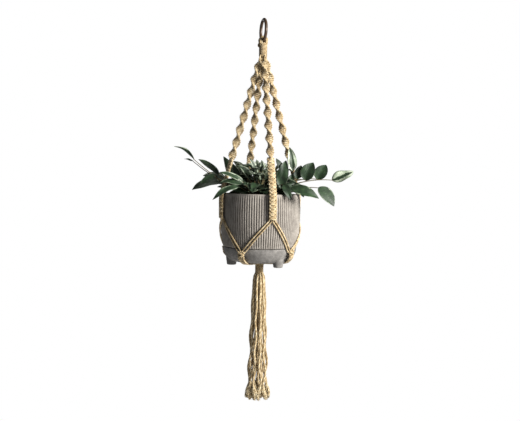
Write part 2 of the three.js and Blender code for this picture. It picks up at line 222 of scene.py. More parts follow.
class Paint:
    """A small helper that builds one Principled material node by node."""

    def __init__(self, name, roughness, **constants):
        self.material = bpy.data.materials.new(name)
        self.material.use_nodes = True
        self.nodes = self.material.node_tree.nodes
        self.links = self.material.node_tree.links
        self.shader = self.nodes["Principled BSDF"]
        self.shader.inputs["Roughness"].default_value = roughness
        for socket, value in constants.items():
            self.shader.inputs[socket.replace("_", " ")].default_value = value
        self.place = self.nodes.new("ShaderNodeTexCoord").outputs["Object"]

    def stretched(self, scale):
        mapping = self.nodes.new("ShaderNodeMapping")
        mapping.inputs["Scale"].default_value = scale
        self.links.new(self.place, mapping.inputs["Vector"])
        return mapping.outputs["Vector"]

    def noise(self, scale, detail=3.0, rough=0.55, vector=None):
        node = self.nodes.new("ShaderNodeTexNoise")
        node.inputs["Scale"].default_value = scale
        node.inputs["Detail"].default_value = detail
        node.inputs["Roughness"].default_value = rough
        self.links.new(self.place if vector is None else vector, node.inputs["Vector"])
        return node.outputs["Fac"]

    def spots(self, scale):
        node = self.nodes.new("ShaderNodeTexVoronoi")
        node.inputs["Scale"].default_value = scale
        self.links.new(self.place, node.inputs["Vector"])
        return node.outputs["Distance"]

    def attribute(self, name):
        node = self.nodes.new("ShaderNodeAttribute")
        node.attribute_name = name
        return node.outputs["Fac"]

    def feed(self, sockets, values):
        for socket, value in zip(sockets, values):
            if isinstance(value, (int, float)):
                socket.default_value = value
            else:
                self.links.new(value, socket)

    def math(self, operation, a, b=0.0):
        node = self.nodes.new("ShaderNodeMath")
        node.operation = operation
        self.feed(node.inputs, (a, b))
        return node.outputs[0]

    def ramp(self, factor, *stops):
        node = self.nodes.new("ShaderNodeValToRGB")
        elements = node.color_ramp.elements
        while len(elements) < len(stops):
            elements.new(0.5)
        for element, (position, colour) in zip(elements, stops):
            element.position = position
            element.color = (*colour, 1)
        self.links.new(factor, node.inputs["Fac"])
        return node.outputs["Color"]

    def mix(self, factor, a, b, kind="MIX"):
        node = self.nodes.new("ShaderNodeMix")
        node.data_type = "RGBA"
        node.blend_type = kind
        self.feed((node.inputs["Factor"], node.inputs["A"], node.inputs["B"]), (factor, a, b))
        return node.outputs["Result"]

    def multiply(self, a, b, factor=1.0):
        return self.mix(factor, a, b, "MULTIPLY")

    def bump(self, height, strength, distance):
        node = self.nodes.new("ShaderNodeBump")
        node.inputs["Strength"].default_value = strength
        node.inputs["Distance"].default_value = distance
        self.links.new(height, node.inputs["Height"])
        self.links.new(node.outputs["Normal"], self.shader.inputs["Normal"])

    def colour(self, output):
        self.links.new(output, self.shader.inputs["Base Color"])

    def roughness(self, factor, low, high):
        node = self.nodes.new("ShaderNodeMapRange")
        node.inputs["To Min"].default_value = low
        node.inputs["To Max"].default_value = high
        self.links.new(factor, node.inputs["Value"])
        self.links.new(node.outputs["Result"], self.shader.inputs["Roughness"])


WHITE = (1, 1, 1)


def cotton_paint():
    """Natural cotton rope: straw, with painted shade between the plies and loose fibres on the surface.
    """
    paint = Paint("cotton_cord", 0.92, Sheen_Weight=0.25, Sheen_Roughness=0.5)
    # Random straw patches: the cotton's own mottling, with the light end raised as painted highlight.
    patches = paint.ramp(
        paint.noise(160, 4),
        (0.34, (0.37, 0.265, 0.13)), (0.5, (0.61, 0.483, 0.282)), (0.66, (0.82, 0.715, 0.5)),
    )
    # Painted shade: the grooves between the plies are darkened by the crest attribute.
    shade = paint.ramp(
        paint.attribute("crest"), (0, (0.34, 0.27, 0.2)), (0.5, (0.84, 0.81, 0.77)), (1, WHITE),
    )
    tone = paint.ramp(
        paint.attribute("tone"), (0, (0.7, 0.65, 0.58)), (0.05, (0.8, 0.77, 0.72)), (1, WHITE),
    )
    paint.colour(paint.multiply(paint.multiply(patches, shade), tone))
    paint.bump(paint.noise(2600, 5, 0.7), 0.55, 0.4 * MM)
    return paint.material


def wood_paint():
    """Dark stained turned wood, its grain running across the ring."""
    paint = Paint("dark_wood", 0.42, Coat_Weight=0.15, Coat_Roughness=0.3)
    grain = paint.noise(60, 6, 0.6, paint.stretched((1, 6, 1.2)))
    paint.colour(paint.ramp(
        grain, (0.32, (0.022, 0.012, 0.007)), (0.52, (0.06, 0.032, 0.016)), (0.7, (0.13, 0.075, 0.04)),
    ))
    paint.roughness(paint.noise(300, 3), 0.35, 0.6)
    paint.bump(grain, 0.25, 0.3 * MM)
    return paint.material


def cement_paint(name, dark, middle, light, roughness):
    """Unglazed grey-taupe cement: cloudy, speckled and pitted, with painted shade between the ribs."""
    paint = Paint(name, roughness)
    clouds = paint.ramp(paint.noise(45, 8, 0.82), (0.36, dark), (0.5, middle), (0.64, light))
    grains = paint.ramp(
        paint.noise(1500, 3, 0.8), (0.34, (0.62, 0.6, 0.58)), (0.5, (0.96, 0.96, 0.96)), (0.68, WHITE),
    )
    pits = paint.spots(420)
    specks = paint.ramp(pits, (0.1, (0.45, 0.43, 0.42)), (0.2, WHITE))
    # Painted shade: where the crest attribute is low, in the rib grooves and at the seam, the cement is
    # darkened.
    depth = paint.ramp(
        paint.attribute("crest"), (0, (0.16, 0.15, 0.145)), (0.5, (0.8, 0.79, 0.78)), (1, WHITE),
    )
    speckled = paint.multiply(paint.multiply(clouds, grains), specks, 0.6)
    paint.colour(paint.multiply(speckled, depth))
    paint.roughness(paint.noise(500, 2), roughness - 0.1, roughness + 0.1)
    surface = paint.math("ADD", paint.noise(900, 4, 0.7), paint.math("MULTIPLY", pits, 0.6))
    paint.bump(surface, 0.35, 0.35 * MM)
    return paint.material


def ribbed_cement_paint():
    return cement_paint(
        "ribbed_cement_paint", (0.235, 0.213, 0.19), (0.31, 0.283, 0.253), (0.385, 0.355, 0.32), 0.85,
    )


def smooth_cement_paint():
    return cement_paint(
        "smooth_cement_paint", (0.12, 0.114, 0.108), (0.2, 0.19, 0.18), (0.3, 0.286, 0.271), 0.75,
    )


def soil_paint():
    """Damp potting soil, nearly black with lighter crumbs."""
    paint = Paint("potting_soil", 0.95)
    crumbs = paint.noise(260, 5, 0.7)
    paint.colour(paint.ramp(
        crumbs,
        (0.35, (0.012, 0.008, 0.005)), (0.55, (0.045, 0.028, 0.017)), (0.72, (0.12, 0.08, 0.05)),
    ))
    paint.bump(crumbs, 0.8, 1.5 * MM)
    return paint.material


def leaf_paint():
    """Dark green blades. Attribute white says how much of a blade is cream, from its edge inwards."""
    paint = Paint("variegated_leaf", 0.5, Coat_Weight=0.05, Coat_Roughness=0.4)
    across = paint.math("ABSOLUTE", paint.attribute("across"))
    wander = paint.math("MULTIPLY", paint.math("SUBTRACT", paint.noise(95, 3, 0.55), 0.5), 0.75)
    border = paint.math("SUBTRACT", 1.05, paint.attribute("white"))
    past_border = paint.math("SUBTRACT", paint.math("ADD", across, wander), border)
    cream_mask = paint.ramp(past_border, (0.0, (0, 0, 0)), (0.09, WHITE))
    green = paint.ramp(
        paint.noise(90, 4, 0.6),
        (0.3, (0.008, 0.02, 0.009)), (0.55, (0.022, 0.05, 0.02)), (0.8, (0.05, 0.095, 0.04)),
    )
    cream = paint.ramp(paint.noise(120, 3), (0.3, (0.34, 0.42, 0.30)), (0.7, (0.66, 0.70, 0.58)))
    blade = paint.mix(cream_mask, green, cream)
    midrib = paint.ramp(across, (0.0, (0.62, 0.72, 0.5)), (0.05, WHITE))
    rim = paint.ramp(across, (0.8, WHITE), (0.95, (0.3, 0.36, 0.28)))
    tone = paint.ramp(paint.attribute("tone"), (0, (0.6, 0.62, 0.6)), (1, WHITE))
    marked = paint.multiply(paint.multiply(blade, midrib, 0.6), rim)
    paint.colour(paint.multiply(marked, tone))
    veins = paint.math("SINE", paint.math("MULTIPLY", paint.attribute("vein"), 60.0))
    paint.bump(paint.math("ADD", veins, paint.noise(700, 2)), 0.25, 0.25 * MM)
    paint.roughness(paint.noise(150, 2), 0.42, 0.62)
    return paint.material


def stem_paint():
    """Brown stems that turn green here and there."""
    paint = Paint("leaf_stem", 0.6)
    paint.colour(paint.ramp(
        paint.noise(120, 4, 0.6),
        (0.3, (0.07, 0.05, 0.025)), (0.55, (0.13, 0.11, 0.05)), (0.75, (0.16, 0.19, 0.08)),
    ))
    paint.bump(paint.noise(900, 3), 0.3, 0.2 * MM)
    return paint.material


# ---- Mesh helpers ----


def new_piece(name, points, faces, material, values=None):
    mesh = bpy.data.meshes.new(name)
    mesh.from_pydata([tuple(p) for p in points], [], faces)
    mesh.validate()
    mesh.polygons.foreach_set("use_smooth", [True] * len(mesh.polygons))
    for key, column in (values or {}).items():
        attribute = mesh.attributes.new(key, "FLOAT", "POINT")
        attribute.data.foreach_set("value", np.asarray(column, np.float32))
    mesh.materials.append(material)
    piece = bpy.data.objects.new(name, mesh)
    bpy.context.scene.collection.objects.link(piece)
    return piece


def smooth_line(points, step):
    """A Catmull-Rom line through the points, sampled about every step."""
    p = np.asarray(points, float)
    padded = np.vstack([2 * p[0] - p[1], p, 2 * p[-1] - p[-2]])
    parts = []
    for i in range(len(p) - 1):
        a, b, c, d = padded[i : i + 4]
        count = max(1, round(np.linalg.norm(c - b) / step))
        t = (np.arange(count) / count)[:, None]
        cubic = (3 * (b - c) + d - a) * t**3 + (2 * a - 5 * b + 4 * c - d) * t**2 + (c - a) * t + 2 * b
        parts.append(cubic / 2)
    parts.append(p[-1:])
    return np.vstack(parts)


def run_along(line):
    """The distance from a line's start to each of its points."""
    return np.concatenate([[0], np.cumsum(np.linalg.norm(np.diff(line, axis=0), axis=1))])


def moving_frame(line):
    """Unit tangents and two unit normals along a line, turning as little as they can."""
    tangent = np.gradient(line, axis=0)
    tangent /= np.linalg.norm(tangent, axis=1)[:, None]
    side = np.cross(tangent[0], np.eye(3)[np.argmin(np.abs(tangent[0]))])
    sides = np.empty_like(line)
    for i, direction in enumerate(tangent):
        side = side - direction * np.dot(side, direction)
        side /= np.linalg.norm(side)
        sides[i] = side
    return tangent, sides, np.cross(tangent, sides)


def grid_faces(rows, columns, first=0, closed=True, flipped=False):
    """Quads between rows of points. Closed joins each row's last point to its first."""
    faces = []
    for row in range(rows - 1):
        a = first + row * columns
        b = a + columns
        for k in range(columns if closed else columns - 1):
            n = (k + 1) % columns
            faces.append((a + k, b + k, b + n, a + n) if flipped else (a + k, a + n, b + n, b + k))
    return faces


def cap(first, sides, flipped=False):
    """One face over a row of points, to close an end."""
    corners = range(first, first + sides)
    return tuple(reversed(corners) if flipped else corners)


class Ropework:
    """Collects plied cords into one mesh, with how proud each point stands and each cord's tone, random
    unless given.
    """

    def __init__(self, seed=1):
        self.points, self.faces, self.crest, self.tone = [], [], [], []
        self.count = 0
        self.random = random.Random(seed)

    def cord(
        self, line, radius=CORD_R, plies=3, per_ply=4, depth=0.15, lay=CORD_LAY, taper=None, tone=None,
    ):
        """Adds one cord: its plies' grooves are depth deep, as a share of its radius."""
        sides = plies * per_ply
        tangent, u, v = moving_frame(line)
        theta = 2 * np.pi * np.arange(sides) / sides
        proud = np.abs(np.cos(plies * theta / 2)) if plies > 1 else np.ones(sides)
        turn = 2 * np.pi * (run_along(line) / lay + self.random.random())
        angle = theta[None, :] + turn[:, None]
        size = np.full(len(line), radius) if taper is None else radius * np.asarray(taper)
        reach = size[:, None] * (1 - depth * (1 - proud))[None, :]
        x, y = (reach * np.cos(angle))[..., None], (reach * np.sin(angle))[..., None]
        rings = line[:, None] + x * u[:, None] + y * v[:, None]
        first, rows = self.count, len(line)
        self.points.append(rings.reshape(-1, 3))
        self.crest.append(np.tile(proud, rows))
        self.tone.append(np.full(rows * sides, self.random.random() if tone is None else tone))
        self.faces += grid_faces(rows, sides, first)
        self.faces += [cap(first, sides, True), cap(first + (rows - 1) * sides, sides)]
        self.count += rows * sides

    def piece(self, name, material, slot="cord"):
        values = {"crest": np.concatenate(self.crest), "tone": np.concatenate(self.tone)}
        return new_piece(name, np.vstack(self.points), self.faces, material, values)


def on_circle(radius, angle, z):
    return radius * math.cos(angle), radius * math.sin(angle), z


def turned_mesh(outline, sides, shape=None):
    """A turned surface from (radius, z) pairs. shape(angle, row) gives a radius offset and a crest."""
    points, crest = [], []
    for row, (radius, z) in enumerate(outline):
        for k in range(sides):
            angle = 2 * math.pi * k / sides
            offset, proud = shape(angle, row) if shape else (0.0, 1.0)
            points.append(on_circle(radius + offset, angle, z))
            crest.append(proud)
    faces = grid_faces(len(outline), sides, flipped=True)
    faces += [cap(0, sides), cap(len(points) - sides, sides, True)]
    return points, faces, crest


def arc(centre, radius, start, end, count):
    """Points on an arc as (radius, z) pairs, angles in degrees from the radial direction."""
    angles = np.radians(np.linspace(start, end, count))
    return [(centre[0] + radius * math.cos(a), centre[1] + radius * math.sin(a)) for a in angles]


# ---- Knots ----

# One half knot, as (across, out, along) in half widths, layers and pitches. The leading cord passes in
# front of the core from left to right, and the other passes over its tail, behind the core and out
# through its loop.
LEAD = [(-1.0, -0.35, 0.0), (-0.75, 0.5, 0.25), (0.0, 1.0, 0.5), (0.75, 0.5, 0.75)]
FOLLOW = [
    (1.0, 0.35, 0.0), (1.08, 0.0, 0.2), (0.55, -0.85, 0.4),
    (0.0, -1.0, 0.5), (-0.55, -0.85, 0.6), (-1.08, 0.0, 0.8),
]


def knotting(count, square):
    """A sennit's two working cords, as (across, out, along) rows. Square knots change their lead."""
    first, second = [], []
    for i in range(count):
        first_leads = square or i % 2 == 0
        flip = -1 if square and i % 2 else 1
        patterns = (LEAD, FOLLOW) if first_leads else (FOLLOW, LEAD)
        for cord, pattern in zip((first, second), patterns):
            cord.extend((flip * across, out, i + along) for across, out, along in pattern)
    ends = (1, -1) if count % 2 else (-1, 1)
    first.append((ends[0], 0.0, count))
    second.append((ends[1], 0.0, count))
    return first, second


def sennit_cords(work, centre_of, style, count, square, start=0.0, growth=None):
    """Adds a sennit's four cords. centre_of(distance) gives its centre, across and outward ways."""

    def place(across, out, along):
        distance = along * style["pitch"]
        centre, side, outward = centre_of(distance)
        size = growth(distance) if growth else 1.0
        turn = start + style["turn"] * along
        x = across * math.cos(turn) - out * math.sin(turn)
        y = across * math.sin(turn) + out * math.cos(turn)
        return centre + side * x * size + outward * y * size

    for path in knotting(count, square):
        spots = [place(a * style["half_width"], o * style["layer"], w) for a, o, w in path]
        work.cord(smooth_line(spots, STEP), radius=style["cord_r"])
    for side in (-1, 1):
        across = side * CORE_PLACE * style["half_width"]
        spots = [place(across, 0, w) for w in np.linspace(0, count, 2 * count + 1)]
        work.cord(smooth_line(spots, 2 * STEP), radius=CORE_R)


class ArmLine:
    """The centre line of an arm and its directions, by distance from the crown."""

    def __init__(self, azimuth):
        self.line = smooth_line(np.array(ARM_LINE) * MM, 2 * MM)
        self.run = run_along(self.line)
        self.slope = np.gradient(self.line, axis=0)
        self.azimuth = azimuth
        self.side = around(azimuth + 90, 1, 0)

    def at(self, distance):
        reach, z = (np.interp(distance, self.run, self.line[:, k]) for k in (0, 1))
        out, down = (np.interp(distance, self.run, self.slope[:, k]) for k in (0, 1))
        outward = around(self.azimuth, -down, out) / math.hypot(out, down)
        return around(self.azimuth, reach, z), self.side, outward


def crown_growth(distance):
    """How big a knot is near the crown: half its size at the wrap, growing smoothly to the whole."""
    share = min(distance / CROWN_GROWTH, 1)
    return 0.5 + 0.5 * share * share * (3 - 2 * share)


def make_arms(cotton):
    """Each arm is half knots that spiral, and below them square knots that lie flat on the pot."""
    spiral_knots = round(KNOT_CHANGE / SPIRAL["pitch"])
    begin = spiral_knots * SPIRAL["pitch"] - MM
    for number, (side, azimuth) in enumerate(ARMS.items()):
        arm = ArmLine(azimuth)
        spiral = Ropework(seed=10 + number)
        start = math.radians(SPIRAL_START[side])
        sennit_cords(spiral, arm.at, SPIRAL, spiral_knots, False, start, crown_growth)
        piece = spiral.piece(f"spiral_knots_{side}", cotton)
        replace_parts(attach(piece, "hanger"), f"spiral_sennit_{side}")
        flat_knots = int((arm.run[-1] - begin) / FLAT["pitch"])
        flat = Ropework(seed=20 + number)
        sennit_cords(flat, lambda distance: arm.at(begin + distance), FLAT, flat_knots, True)
        piece = flat.piece(f"square_knots_{side}", cotton)
        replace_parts(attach(piece, "hanger"), f"flat_sennit_{side}")


# ---- Head: ring, loops and wraps ----


def make_ring(wood):
    tube = (RING_HIGH.x - RING_LOW.x) / 2 * RING_ROUND
    centre_z = (RING_HIGH.z + RING_LOW.z) / 2
    mid = (RING_HIGH.z - RING_LOW.z) / 2 - tube
    around_ring, around_tube = 128, 28
    points = []
    for i in range(around_ring):
        angle = 2 * math.pi * i / around_ring
        for k in range(around_tube):
            turn = 2 * math.pi * k / around_tube
            reach = mid + tube * math.cos(turn)
            y, z = reach * math.cos(angle), centre_z + reach * math.sin(angle)
            points.append((tube * math.sin(turn), y, z))
    rows = grid_faces(around_ring + 1, around_tube)
    faces = [tuple(corner % len(points) for corner in face) for face in rows]
    ring = new_piece("turned_ring", points, faces, wood)
    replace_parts(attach(ring, "ring"), "hanging_ring")


def make_head_loops(cotton):
    """Eight cords pass over the ring in two layers, and their sixteen legs go down into the wrap."""
    work = Ropework(seed=3)
    ring_mid = (RING_HIGH.z - RING_LOW.z) / 2 - RING_TUBE_R
    ring_z = (RING_HIGH.z + RING_LOW.z) / 2
    middle = (HEAD_LOOPS["abreast"] - 1) / 2
    over = np.radians(np.linspace(200, -20, 9))
    for layer, (reach, leg) in enumerate(HEAD_LOOPS["layers"]):
        for k in range(HEAD_LOOPS["abreast"]):
            y = (k - middle) * HEAD_LOOPS["pitch"] + layer * HEAD_LOOPS["offset"]
            level = ring_z - math.sqrt(ring_mid**2 - y**2)
            leg_y = y * HEAD_LOOPS["narrowing"]
            spots = [(-leg, leg_y, HEAD_LOOPS["low"])]
            spots += [(reach * math.cos(a), y, level + reach * math.sin(a)) for a in over]
            spots += [(leg, leg_y, HEAD_LOOPS["low"])]
            work.cord(smooth_line(spots, STEP))
    piece = work.piece("head_cords", cotton)
    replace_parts(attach(piece, "head"), "head_loop")


def wrapped_cord(name, low, high, radius, body, node, cotton, seed, tails=()):
    """A gathering wrap: one cord wound tightly round a bundle, whose ends are tucked in."""
    turns = (high - low) / (2.05 * WINDING_R)
    angles = np.linspace(0, 2 * math.pi * turns, int(turns * 40))
    line = np.column_stack([
        (radius - WINDING_R) * np.cos(angles),
        (radius - WINDING_R) * np.sin(angles),
        high - (high - low) * angles / angles[-1],
    ])
    work = Ropework(seed=seed)
    # The winding takes the darkest cord tone, as painted shade.
    work.cord(line, radius=WINDING_R, per_ply=3, depth=0.12, tone=0.0)
    bundle = np.column_stack([np.zeros(9), np.zeros(9), np.linspace(high + MM, low - MM, 9)])
    work.cord(bundle, radius=radius - 1.6 * WINDING_R, plies=8, per_ply=4, depth=0.1, lay=1.0)
    # The loose end also takes the darkest tone, as painted shade.
    for tail in tails:
        work.cord(smooth_line(tail, STEP), tone=0.0)
    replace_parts(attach(work.piece(name, cotton), body), node)


def make_wraps(cotton):
    tail = [around(TAIL_AZIMUTH, reach * MM, z * MM) for reach, z in TAIL_LINE]
    top, radius = HEAD_WRAP_HIGH.z - MM, HEAD_WRAP_HIGH.x
    wrapped_cord("head_winding", HEAD_WRAP_LOW, top, radius, "head", "head_wrap", cotton, 5, [tail])
    low, high = LOWER_WRAP_SPAN
    radius = LOWER_WRAP_HIGH.x
    wrapped_cord("lower_winding", low, high, radius, "tassel_head", "lower_wrap", cotton, 6)


def make_crown(cotton):
    """Sixteen cords leave the wrap and part into the four arms."""
    work = Ropework(seed=7)
    for name, azimuth in ARMS.items():
        arm = ArmLine(azimuth)
        centre, side, outward = arm.at(2 * MM)
        onward = arm.at(8 * MM)[0] - centre
        # Half a turn only swaps the cords' order, so the smaller angle does.
        half_turn = SPIRAL_START[name] % 180
        turned = math.radians(half_turn - 180 if half_turn > 90 else half_turn)
        along = side * math.cos(turned) + outward * math.sin(turned)
        for k, across in enumerate((-1, -CORE_PLACE, CORE_PLACE, 1)):
            end = centre + along * across * 0.55 * SPIRAL["half_width"]
            reach = CROWN_BEND["outer" if abs(across) == 1 else "inner"]
            start = around(azimuth + (k - 1.5) * CROWN_BEND["fan"], reach, CROWN_BEND["top"])
            middle = (start + end) / 2 + outward * CROWN_BEND["bulge"]
            work.cord(smooth_line([start, middle, end, end + onward], STEP))
    piece = work.piece("crown_cords", cotton)
    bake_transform(piece)


# ---- Cradle ----


def pot_radius(z):
    t = min(max((POT_HIGH.z - z) / (POT_HIGH.z - POT_SEAM_Z), 0), 1)
    rim, belly, seam = POT_CURVE
    return (1 - t) ** 2 * rim + 2 * t * (1 - t) * belly + t**2 * seam


def cradle_spots(azimuth, span, inner):
    """The route of one cord from an arm's end to a knot, span degrees away, just clear of the pot."""
    way = math.copysign(1, span)
    # Distances beside the arm's and the knot's middles in millimetres, and heights.
    band_end, start = (1.7, (2.4, -429.8)) if inner else (6, (7, -427.8))
    knot_end, end = (6, (8.4, -494)) if inner else (1.7, (2.8, -491))
    last = span - way * math.degrees(knot_end * MM / GATHER_REACH)
    top = around(azimuth, ARM_LINE[-1][0] * MM, -424 * MM)
    spots = [top + around(azimuth + 90, band_end * way * MM, 0)]
    for t in np.linspace(0, 1, 8):
        z = (start[1] + (end[1] - start[1]) * t) * MM
        reach = pot_radius(z) + CORD_R + 0.5 * MM
        low = way * math.degrees(start[0] * MM / reach)
        high = span - way * math.degrees(end[0] * MM / reach)
        spots.append(around(azimuth + low + (high - low) * t, reach, z))
    spots.append(around(azimuth + last, GATHER_REACH, GATHER_TOP - 2 * MM))
    return spots


def make_cradle_cords(cotton):
    for number, (side, azimuth) in enumerate(ARMS.items()):
        for turn, knot in zip("ab", NEIGHBOURS[side]):
            span = (KNOTS[knot] - azimuth + 540) % 360 - 180
            for inner in (0, 1):
                work = Ropework(seed=100 + 4 * number + 2 * (span > 0) + inner)
                work.cord(smooth_line(cradle_spots(azimuth, span, inner), STEP))
                piece = work.piece(f"cradle_rope_{side}_{turn}{inner + 1}", cotton)
                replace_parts(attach(piece, "hanger"), f"cradle_cord_{side}_{turn}{inner + 1}")


def make_gather_knots(cotton):
    """One square knot ties two pairs together, and its four cords go on under the saucer."""
    for number, (gap, azimuth) in enumerate(KNOTS.items()):

        def centre_of(distance, azimuth=azimuth):
            centre = around(azimuth, GATHER_REACH - 0.12 * distance, GATHER_TOP - distance)
            return centre, around(azimuth + 90, 1, 0), around(azimuth, 1, 0)

        work = Ropework(seed=40 + number)
        sennit_cords(work, centre_of, GATHER, 2, True)
        piece = work.piece(f"gather_square_knot_{gap}", cotton)
        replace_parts(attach(piece, "hanger"), f"gather_knot_{gap}")


def under_cord_spots(azimuth, dodge, lane):
    """The route of one of the four cords under the saucer; lane is its place in the band."""
    lateral = lane * UNDER_PITCH
    side = around(azimuth + 90, 1, 0)
    top = around(azimuth, GATHER_REACH - 1.5 * MM, GATHER_TOP - 12 * MM)
    spots = [top + side * (lateral if abs(lane) < 1 else lateral * 1.1)]
    for reach, z, share in UNDER_LINE:
        centre = around(azimuth + dodge * share, reach * MM, z * MM)
        squeeze = 1.0 if reach > 20 else 0.8
        spots.append(centre + side * lateral * squeeze)
    return spots


def make_under_cords(cotton):
    """Four cords from each knot run under the saucer, and all sixteen gather above the lower wrap."""
    neck = Ropework(seed=61)
    for number, (gap, azimuth) in enumerate(KNOTS.items()):
        dodge = UNDER_DODGES[gap]
        work = Ropework(seed=50 + number)
        for lane in (-1.5, -0.5, 0.5, 1.5):
            spots = under_cord_spots(azimuth, dodge, lane)
            work.cord(smooth_line(spots, STEP))
            bend = around(azimuth + 22 * lane, 8.3 * MM, -529 * MM)
            low = around(azimuth + 24 * lane, 7.4 * MM, -538 * MM)
            overlap = spots[-1] + (spots[-2] - spots[-1]) * 0.15
            neck.cord(smooth_line([overlap, spots[-1], bend, low], STEP))
        piece = work.piece(f"under_ropes_{gap}", cotton)
        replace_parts(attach(piece, "hanger"), f"under_cords_{gap}")
    piece = neck.piece("gathered_cords", cotton)
    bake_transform(piece)


# ---- Tassel ----


def strand_point(azimuth, reach, phase, s):
    """A place at a share s of a strand's drop: the strands spread a little, and wave more and more."""
    spread = 1 + STRAND_SPREAD["early"] * math.sqrt(s) + STRAND_SPREAD["late"] * s**3
    wave = STRAND_WAVE["start"] + STRAND_WAVE["growth"] * s
    swing = 2 * math.pi * STRAND_WAVE["waves"] * s + phase
    place = around(azimuth, reach * spread, STRAND["top"] - STRAND["drop"] * s)
    return place + np.array([wave * math.sin(swing), wave * math.cos(0.7 * swing), 0])


def make_tuft(name, line, cotton, seed):
    """The frayed end of a strand: its fibres open into a brush."""
    chance = random.Random(seed)
    work = Ropework(seed=seed)
    _, u, v = moving_frame(line)
    run = run_along(line)
    for _ in range(TUFT["fibres"]):
        angle = chance.uniform(0, 2 * math.pi)
        spread = chance.uniform(0.5, 1.0) ** 0.5
        length = run[-1] * chance.uniform(0.86, 1.0)
        kink = chance.uniform(-1, 1)
        spots = []
        for share in np.linspace(0, 1, 7):
            centre = np.array([np.interp(share * length, run, line[:, k]) for k in range(3)])
            opened = STRAND["d"] * (0.36 + 0.72 * spread * min(2.2 * share, 1) ** 0.8)
            bearing = angle + 0.5 * kink * share
            spots.append(centre + opened * (math.cos(bearing) * u[0] + math.sin(bearing) * v[0]))
        fibre = smooth_line(spots, TUFT["step"])
        thin = np.linspace(1, 0.45, len(fibre))
        work.cord(fibre, radius=TUFT["fibre_r"], plies=1, per_ply=5, depth=0.0, taper=thin, tone=1.0)
    return work.piece(name, cotton)


def make_strand(number, azimuth, reach, cotton):
    """One strand of the tassel with its tuft. Gives back where it starts."""
    phase, points = STRAND_WAVE["stagger"] * number, STRAND["points"]
    route = [strand_point(azimuth, reach, phase, k / points) for k in range(points + 1)]
    line = smooth_line(route, 1.5 * MM)
    drop = STRAND["top"] - line[:, 2]
    into_tuft = np.clip((drop - (STRAND["drop"] - TUFT["length"])) / TUFT["length"], 0, 1)
    work = Ropework(seed=200 + number)
    work.cord(line, radius=0.6 * STRAND["d"], depth=0.09, lay=STRAND_LAY, taper=1 - 0.1 * into_tuft)
    strand = work.piece(f"strand_{number:02d}", cotton)
    tuft = make_tuft(f"tuft_{number:02d}", line[into_tuft > 0], cotton, 300 + number)
    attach(tuft, "tassel")
    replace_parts(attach(strand, "tassel"), f"tassel_strand_{number:02d}")
    return np.array(route[0])


def make_tassel(cotton):
    """Sixteen strands in rings, and the short necks that join them to the wrap above."""
    neck = Ropework(seed=62)
    number = 0
    for count, reach in STRAND_RINGS:
        for i in range(count):
            number += 1
            start = make_strand(number, 360 * i / count, reach, cotton)
            high = start * np.array([0.72, 0.72, 1]) + np.array([0, 0, 7 * MM])
            low = start - np.array([0, 0, 2 * MM])
            spots = [high, (high + start) / 2, start, low]
            neck.cord(smooth_line(spots, STEP), radius=STRAND["d"] / 2)
    piece = neck.piece("tassel_neck", cotton)
    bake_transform(piece)


# ---- Pot, saucer and soil ----


def make_pot(cement):
    """A hollow pot, ribbed from just below its rounded rim to the seam above the saucer."""
    rim_z, rim_r, seam_r = POT_HIGH.z, POT_CURVE[0], POT_CURVE[2]
    floor_r, floor_z = POT_FLOOR
    base_r, base_z = POT_BASE
    outline = [
        (AXIS_R, floor_z), (floor_r, floor_z), (POT_INNER_R - 0.3 * MM, SOIL_HIGH.z),
        (POT_INNER_R, rim_z - 3 * MM), (POT_INNER_R + 0.9 * MM, rim_z - 0.8 * MM),
        (POT_INNER_R + 2.4 * MM, rim_z), (rim_r - MM, rim_z), (rim_r, rim_z - 0.6 * MM),
    ]
    first_rib, last_rib = len(outline), len(outline) + RIB_ROWS - 1
    for t in np.linspace(0.018, 0.99, RIB_ROWS):
        z = rim_z + (POT_SEAM_Z - rim_z) * t
        outline.append((pot_radius(z), z))
    outline += [
        (seam_r - 1.6 * MM, POT_SEAM_Z + 0.6 * MM), (base_r, POT_SEAM_Z),
        (base_r, base_z + MM), (base_r - MM, base_z), (AXIS_R, base_z),
    ]

    def ribs(angle, row):
        # Crest feeds the cement's painted shade: a painted shadow line below the ribs at the seam,
        # darker rib grooves; the rim and inside are a little darker.
        if row > last_rib:
            return 0.0, 0.0
        if row < first_rib:
            return 0.0, 0.8
        fade = min(1.0, (row - first_rib) / 1.5, (last_rib - row) / 1.0)
        proud = abs(math.cos(RIBS * angle / 2)) ** 0.7
        return -RIB_DEPTH * (1 - proud) * fade, 1 - (1 - proud) * fade

    points, faces, crest = turned_mesh(outline, RIBS * 10, ribs)
    pot = new_piece("ribbed_wall", points, faces, cement, {"crest": crest})
    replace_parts(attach(pot, "hanger"), "ribbed_pot")


def make_saucer(cement):
    """A bowl with a rounded lip, an elliptical side and a flat underside."""
    rim_z, lip = SAUCER_HIGH.z, 1.2 * MM
    flat, bottom = SAUCER_BOTTOM
    outline = [
        (AXIS_R, SAUCER_FLOOR_Z), (74 * MM, SAUCER_FLOOR_Z),
        (75.5 * MM, SAUCER_FLOOR_Z + 1.5 * MM), (75.6 * MM, rim_z - lip),
    ]
    outline += arc((77.2 * MM, rim_z - lip), lip, 150, 60, 4)
    outline += arc((79.2 * MM, rim_z - lip), lip, 80, 10, 4)
    for angle in np.radians(np.linspace(4, 90, 22)):
        radius = flat + (SAUCER_R - flat) * math.cos(angle)
        outline.append((radius, rim_z + (bottom - rim_z) * math.sin(angle)))
    outline.append((AXIS_R, bottom))
    points, faces, crest = turned_mesh(outline, 160)
    saucer = new_piece("saucer_bowl", points, faces, cement, {"crest": crest})
    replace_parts(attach(saucer, "hanger"), "saucer")


